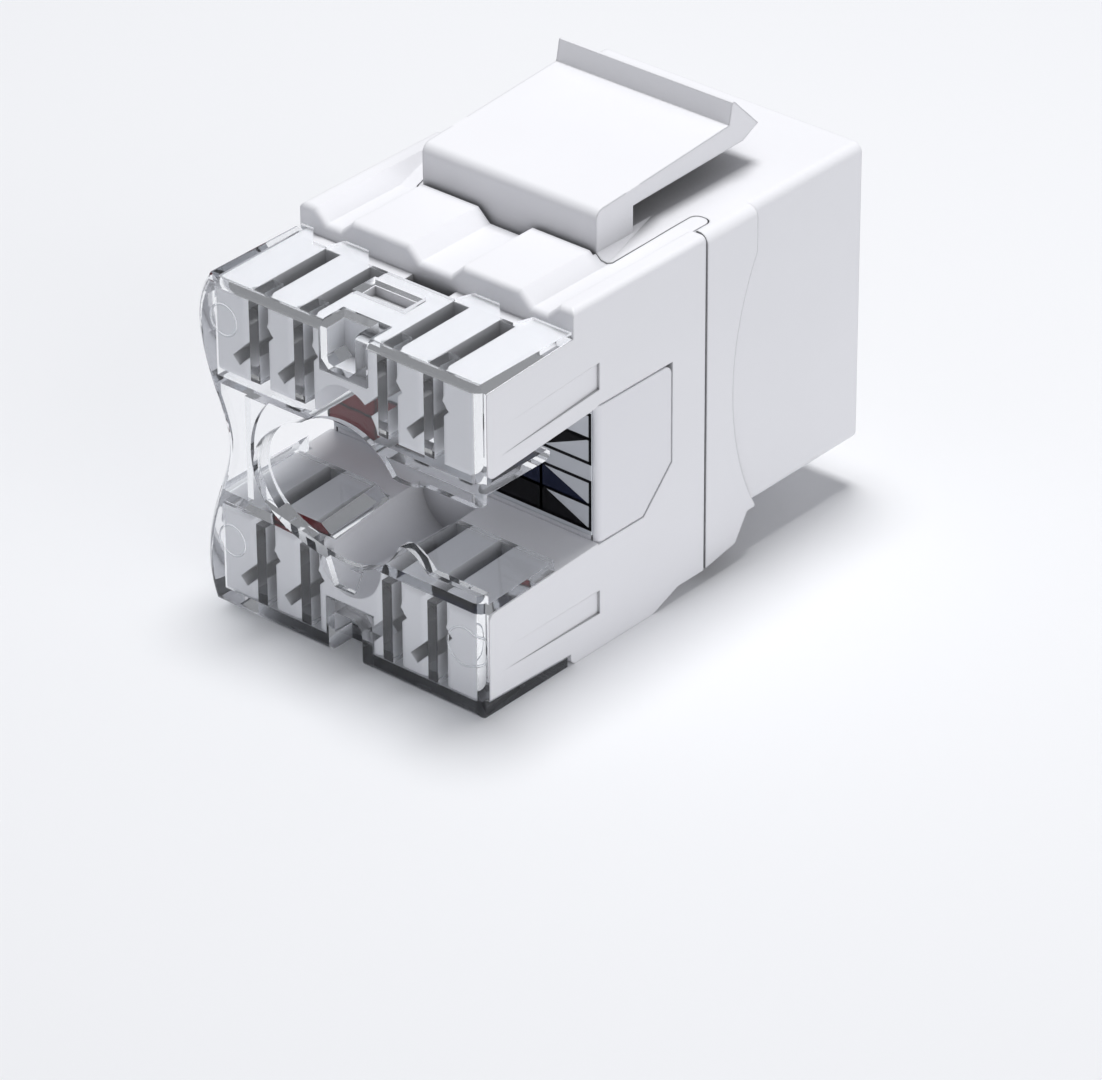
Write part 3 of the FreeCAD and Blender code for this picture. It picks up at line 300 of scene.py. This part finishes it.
@dataclass(frozen=True)
class ClearPlastic:
    """Polished clear polycarbonate with faint flow marks."""

    name: str
    colour: Colour = (0.975, 0.98, 0.985)
    haze: float = 0.006
    haze_colour: Colour = (0.9, 0.92, 0.93)
    glint: Colour = (0.38, 0.38, 0.4)
    index: float = 1.58
    clear_depth: float = 3.5        # ray depth past which the cap no longer bends light
    flow_scale: float = 700.0       # flow marks to the metre
    flow_depth: float = 0.02        # mm

    def material(self, grain: bpy.types.NodeTree) -> bpy.types.Material:
        """Builds the material.

        Args:
            grain: The mould grain group.

        Returns:
            The material.
        """
        material, graph, shader, output = blank_material(self.name)
        texture = graph.add("ShaderNodeGroup", node_tree=grain)
        texture.inputs["Colour"].default_value = (*self.colour, 1)
        texture.inputs["Clouding"].default_value = 0.02
        texture.inputs["Roughness"].default_value = 0.05
        texture.inputs["Cell scale"].default_value = self.flow_scale
        graph.link(texture.outputs["Colour"], shader.inputs["Base Color"])
        bump = graph.add("ShaderNodeBump")
        bump.inputs["Strength"].default_value = 0.2
        bump.inputs["Distance"].default_value = self.flow_depth * MM
        graph.link(texture.outputs["Height"], bump.inputs["Height"])
        graph.link(bump.outputs["Normal"], shader.inputs["Normal"])
        shader.inputs["Transmission Weight"].default_value = 1.0
        shader.inputs["Specular Tint"].default_value = (*self.glint, 1)
        shader.inputs["Roughness"].default_value = 0.03
        shader.inputs["IOR"].default_value = self.index
        haze = graph.add("ShaderNodeBsdfDiffuse")
        haze.inputs["Color"].default_value = (*self.haze_colour, 1)
        milky = graph.add("ShaderNodeMixShader")
        milky.inputs["Fac"].default_value = self.haze
        graph.link(shader.outputs[0], milky.inputs[1])
        graph.link(haze.outputs[0], milky.inputs[2])
        through = graph.add("ShaderNodeBsdfTransparent")
        through.inputs["Color"].default_value = (*self.colour, 1)
        rays = graph.add("ShaderNodeLightPath")
        mix = graph.add("ShaderNodeMixShader")
        deep = graph.math("GREATER_THAN", rays.outputs["Ray Depth"], self.clear_depth)
        either = graph.math("MAXIMUM", rays.outputs["Is Shadow Ray"],
                            rays.outputs["Is Diffuse Ray"])
        graph.link(graph.math("MAXIMUM", either, deep), mix.inputs["Fac"])
        graph.link(milky.outputs[0], mix.inputs[1])
        graph.link(through.outputs[0], mix.inputs[2])
        graph.link(mix.outputs[0], output.inputs["Surface"])
        return material


@dataclass(frozen=True)
class PlatedMetal:
    """A stamped spring metal with a thin plating."""

    name: str
    colour: Colour
    roughness: float = 0.28
    clouding: float = 0.15
    cell_scale: float = 4000.0

    def material(self, grain: bpy.types.NodeTree) -> bpy.types.Material:
        """Builds the material.

        Args:
            grain: The mould grain group.

        Returns:
            The material.
        """
        material, graph, shader, _ = blank_material(self.name)
        texture = graph.add("ShaderNodeGroup", node_tree=grain)
        texture.inputs["Colour"].default_value = (*self.colour, 1)
        texture.inputs["Clouding"].default_value = self.clouding
        texture.inputs["Roughness"].default_value = self.roughness
        texture.inputs["Cell scale"].default_value = self.cell_scale
        graph.link(texture.outputs["Colour"], shader.inputs["Base Color"])
        graph.link(texture.outputs["Roughness"], shader.inputs["Roughness"])
        shader.inputs["Metallic"].default_value = 1.0
        return material


# ---------------------------------------------------------------- mesh tools
def to_frame(x: float, y: float, z: float) -> Vector:
    """A place in mm from the middle of the cap's rear face, as metres in the part's frame."""
    return (Vector((x, y, z)) + MIDDLE) * MM


def mesh_piece(name: str, shape: bmesh.types.BMesh, material: bpy.types.Material, body: str,
               smooth: bool = False) -> bpy.types.Object:
    """Turns a bmesh into an object that rides on a body.

    Args:
        name: The object's name.
        shape: The mesh, in metres in the part's frame; it is freed.
        material: Its finish.
        body: The CAD body that it moves with.
        smooth: Whether its faces are shaded smooth.

    Returns:
        The object.
    """
    bmesh.ops.recalc_face_normals(shape, faces=shape.faces)
    data = bpy.data.meshes.new(name)
    shape.to_mesh(data)
    shape.free()
    for face in data.polygons:
        face.use_smooth = smooth
    data.materials.append(material)
    piece = bpy.data.objects.new(name, data)
    bpy.context.scene.collection.objects.link(piece)
    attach(piece, body)
    LOG.info("%s: %d faces, %s", name, len(data.polygons), material.name)
    return piece


# ---------------------------------------------------------------- printed label
class Ink(Enum):
    """The printing colours of the wiring label."""

    BLACK = (0.004, 0.004, 0.006)
    NAVY = (0.008, 0.012, 0.035)
    RED = (0.15, 0.0, 0.006)


@dataclass
class LabelPrint:
    """Frames and two-colour cells printed on the sheet between the arms.  Lengths are in mm."""

    face_y: float = 7.38
    thick: float = 0.012
    columns: tuple[float, ...] = (-7.17, -4.5, -1.83, 1.83, 4.5, 7.17)
    rows: tuple[tuple[float, float, float], ...] = ((5.74, 6.9, 8.02), (8.9, 10.05, 11.21))
    half_line: float = 0.07

    def sheet(self, shape: bmesh.types.BMesh, outline: Sequence[Point]) -> None:
        """Adds one thin printed area.

        Args:
            shape: The mesh it goes into.
            outline: Its (x, z) corners, in mm.
        """
        rings = [[shape.verts.new(to_frame(x, y, z)) for x, z in outline]
                 for y in (self.face_y - self.thick, self.face_y)]
        shape.faces.new(rings[0])
        shape.faces.new(rings[1])
        for i in range(len(outline)):
            j = (i + 1) % len(outline)
            shape.faces.new((rings[0][i], rings[0][j], rings[1][j], rings[1][i]))

    def bar(self, shape: bmesh.types.BMesh, x0: float, x1: float, z0: float, z1: float) -> None:
        """Adds a printed rectangle."""
        self.sheet(shape, [(x0, z0), (x1, z0), (x1, z1), (x0, z1)])

    def areas(self) -> dict[Ink, list[list[Point]]]:
        """The printed areas of each ink, as (x, z) outlines in mm."""
        x0, x1, x2, x3, x4, x5 = self.columns
        (a0, a1, a2), (b0, b1, b2) = self.rows
        return {
            Ink.BLACK: [[(x4, b0), (x5, b1), (x4, b1)], [(x3, b0), (x4, b0), (x4, b1)],
                        [(x3, a0), (x5, a0), (x4 + 1.1, a1 - 0.45), (x4 + 0.1, a1), (x3, a1)],
                        [(x1, b1), (x2, b1), (x2, b2)]],
            Ink.NAVY: [[(x3, a1), (x5, a1), (x4, a2), (x3, a2)], [(x0, b0), (x1, b0), (x1, b2)]],
            Ink.RED: [[(x0, a0), (x2, a0), (x2, a2), (x0, a2)]],
        }

    def build(self, grain: bpy.types.NodeTree) -> None:
        """Prints the label.

        Args:
            grain: The mould grain group, which also gives the inks their mottle.
        """
        for ink, outlines in self.areas().items():
            shape = bmesh.new()
            for outline in outlines:
                self.sheet(shape, outline)
            if ink is Ink.BLACK:
                self.frames(shape)
            finish = MouldedPlastic(f"{ink.name.title()} ink", ink.value, 0.5, 0.2, 0.001,
                                    edge_radius=0.0, painted_crevice_shade=0.0, shine=0.15)
            mesh_piece(f"label_print_{ink.name.lower()}", shape, finish.material(grain), "jack")

    def frames(self, shape: bmesh.types.BMesh) -> None:
        """Adds the black outlines round each pair of columns."""
        half = self.half_line
        for low, middle, high in self.rows:
            for left, right in ((self.columns[0], self.columns[2]),
                                (self.columns[3], self.columns[5])):
                for z in (low, middle, high):
                    self.bar(shape, left - half, right + half, z - half, z + half)
                for x in (left, (left + right) / 2, right):
                    self.bar(shape, x - half, x + half, low, high)


# ---------------------------------------------------------------- cap details
@dataclass
class CapMarks:
    """Ejector marks: faint raised rings left in the clear cap by the mould.

    Each ring is given as x, z and radius, and all lengths are in mm.
    """

    rings: tuple[tuple[float, float, float], ...] = ((-6.65, 13.8, 0.72), (-6.6, 3.2, 0.72),
                                                     (6.4, 3.1, 0.9))
    half_width: float = 0.05
    proud: float = 0.015
    wall_y: float = 0.55
    steps: int = 40
    profile_steps: int = 6

    def build(self, material: bpy.types.Material) -> None:
        """Adds the rings.

        Args:
            material: The clear plastic.
        """
        shape = bmesh.new()
        for x, z, radius in self.rings:
            self.ring(shape, x, z, radius)
        mesh_piece("cap_ejector_marks", shape, material, "cap", smooth=True)

    def ring(self, shape: bmesh.types.BMesh, x: float, z: float, radius: float) -> None:
        """Adds one ring, standing on the inner side of the end wall."""
        count, profile = self.steps, self.profile_steps
        loops = []
        for i in range(count):
            turn = 2 * math.pi * i / count
            loop = []
            for j in range(profile):
                part = 2 * math.pi * j / profile
                reach = radius + self.half_width * math.cos(part)
                loop.append(shape.verts.new(to_frame(
                    x + reach * math.cos(turn), self.wall_y + self.proud * math.sin(part),
                    z + reach * math.sin(turn))))
            loops.append(loop)
        for i in range(count):
            here, there = loops[i], loops[(i + 1) % count]
            for j in range(profile):
                k = (j + 1) % profile
                shape.faces.new((here[j], here[k], there[k], there[j]))


# ---------------------------------------------------------------- studio
@dataclass
class Studio:
    """Floor, soft lamps and camera.  None of it is part of the jack.

    Angles are in degrees and lengths in mm.  Each lamp is a name, a place, a width and watts.
    """

    azimuth: float = 40.703
    elevation: float = 30.778
    roll: float = 0.373
    distance: float = 262.798
    target: tuple[float, float, float] = (0.0, 13.0, 8.0)
    offset: Point = (0.137, -6.934)
    lens: float = 201.53
    floor_colour: Colour = (0.838, 0.843, 0.862)
    lamps: list[tuple[str, tuple[float, float, float], float, float]] = field(
        default_factory=lambda: [("Overhead", (-18.0, 36.0, 260.0), 95.0, 0.53),
                                 ("Right fill", (420.0, -65.0, 178.0), 420.0, 0.66)])
    aim_height: float = 8.0
    room_colour: Colour = (0.93, 0.95, 1.0)
    room_level: float = 0.27

    def axes(self) -> tuple[Vector, Vector, Vector]:
        """The camera's right, up and backward directions."""
        a, e = math.radians(self.azimuth), math.radians(self.elevation)
        right = Vector((math.cos(a), math.sin(a), 0))
        back = Vector((math.sin(a) * math.cos(e), -math.cos(a) * math.cos(e), math.sin(e)))
        return right, back.cross(right), back

    def camera(self) -> None:
        """Places the camera."""
        right, up, back = self.axes()
        place = Vector(self.target) + MIDDLE + right * self.offset[0] + up * self.offset[1]
        place += back * self.distance
        roll = math.radians(self.roll)
        turned_right = right * math.cos(roll) - up * math.sin(roll)
        turned_up = right * math.sin(roll) + up * math.cos(roll)
        data = bpy.data.cameras.new("Camera")
        data.lens = self.lens
        data.sensor_width = 36.0
        data.sensor_fit = "HORIZONTAL"
        data.clip_start = 0.01
        body = bpy.data.objects.new("Camera", data)
        turn = Matrix((turned_right, turned_up, back)).transposed().to_4x4()
        body.matrix_world = Matrix.Translation(place * MM) @ turn
        bpy.context.scene.collection.objects.link(body)
        bpy.context.scene.camera = body

    def floor(self) -> None:
        """Lays the pale floor."""
        bpy.ops.mesh.primitive_plane_add(size=6.0)
        floor = bpy.context.object
        floor.name = "Floor"
        material, _, shader, _ = blank_material("Pale floor")
        shader.inputs["Base Color"].default_value = (*self.floor_colour, 1)
        shader.inputs["Roughness"].default_value = 0.9
        shader.inputs["Specular IOR Level"].default_value = 0.1
        floor.data.materials.append(material)

    def light(self) -> None:
        """Sets the lamps and the world."""
        for name, place, size, power in self.lamps:
            data = bpy.data.lights.new(name, "AREA")
            data.shape = "DISK"
            data.size = size * MM
            data.energy = power
            lamp = bpy.data.objects.new(name, data)
            spot = Vector(place) * MM
            lamp.location = spot
            aim = Vector((0, 0, self.aim_height * MM)) - spot
            lamp.rotation_euler = aim.to_track_quat("-Z", "Y").to_euler()
            bpy.context.scene.collection.objects.link(lamp)
        world = bpy.data.worlds.new("Soft room")
        world.use_nodes = True
        back = world.node_tree.nodes["Background"]
        back.inputs["Color"].default_value = (*self.room_colour, 1)
        back.inputs["Strength"].default_value = self.room_level
        bpy.context.scene.world = world

    def build(self) -> None:
        """Builds the whole studio."""
        self.floor()
        self.light()
        self.camera()
        view = bpy.context.scene.view_settings
        view.view_transform = "Standard"
        LOG.info("studio: floor, %d lamps, camera", len(self.lamps))


# ---------------------------------------------------------------- the jack
@dataclass
class Jack:
    """The jack's CAD nodes and the finish that each one takes."""

    nodes: dict[str, bpy.types.Object]
    slots: dict[str, str]
    finishes: dict[str, MouldedPlastic | ClearPlastic | PlatedMetal] = field(
        default_factory=lambda: {
            "white_housing": MouldedPlastic("White housing", (0.83, 0.83, 0.86)),
            # painted shade here also falls where this piece meets its neighbours
            "white_front": MouldedPlastic("White front", (0.83, 0.83, 0.86), edge_radius=0.15,
                                          painted_crevice_shade=0.7, painted_shade_reach=2.6, shade_own_faces_only=False,
                                          joint_y=13.0),
            "white_insert": MouldedPlastic("White insert", (0.80, 0.80, 0.835)),
            "label_paper": MouldedPlastic("Label paper", (0.60, 0.62, 0.66), 0.4, painted_crevice_shade=0.0),
            "board_laminate": MouldedPlastic("Board lacquer", (0.02, 0.09, 0.045), 0.3),
            "carrier_plastic": MouldedPlastic("Carrier plastic", (0.03, 0.03, 0.032)),
            "clear_plastic": ClearPlastic("Clear polycarbonate"),
            "tinned_bronze": PlatedMetal("Tinned bronze", (0.42, 0.41, 0.42)),
            "gilt_bronze": PlatedMetal("Gilt bronze", (0.85, 0.6, 0.25), 0.2)})
    special: dict[str, str] = field(default_factory=lambda: {"front_housing": "white_front",
                                                             "latch_arm": "white_front"})

    def dress(self) -> None:
        """Gives every CAD node its finish and adds the printed and moulded details."""
        grain = mould_grain()
        made = {slot: finish.material(grain) for slot, finish in self.finishes.items()}
        LabelPrint().build(grain)
        CapMarks().build(made["clear_plastic"])
        for name, piece in self.nodes.items():
            material = made[self.special.get(name, self.slots[name])]
            piece.data.materials.clear()
            piece.data.materials.append(material)
            LOG.info("%s: %s", name, material.name)


def main() -> None:
    """Builds the jack's finishes and the studio."""
    logging.basicConfig(level=logging.INFO, format="%(name)s: %(message)s")
    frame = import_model()
    slots = {part["node"]: part["material_slot"] for part in frame["record"]["subparts"]}
    Jack(frame["nodes"], slots).dress()
    Studio().build()


if __name__ == "__main__":
    main()
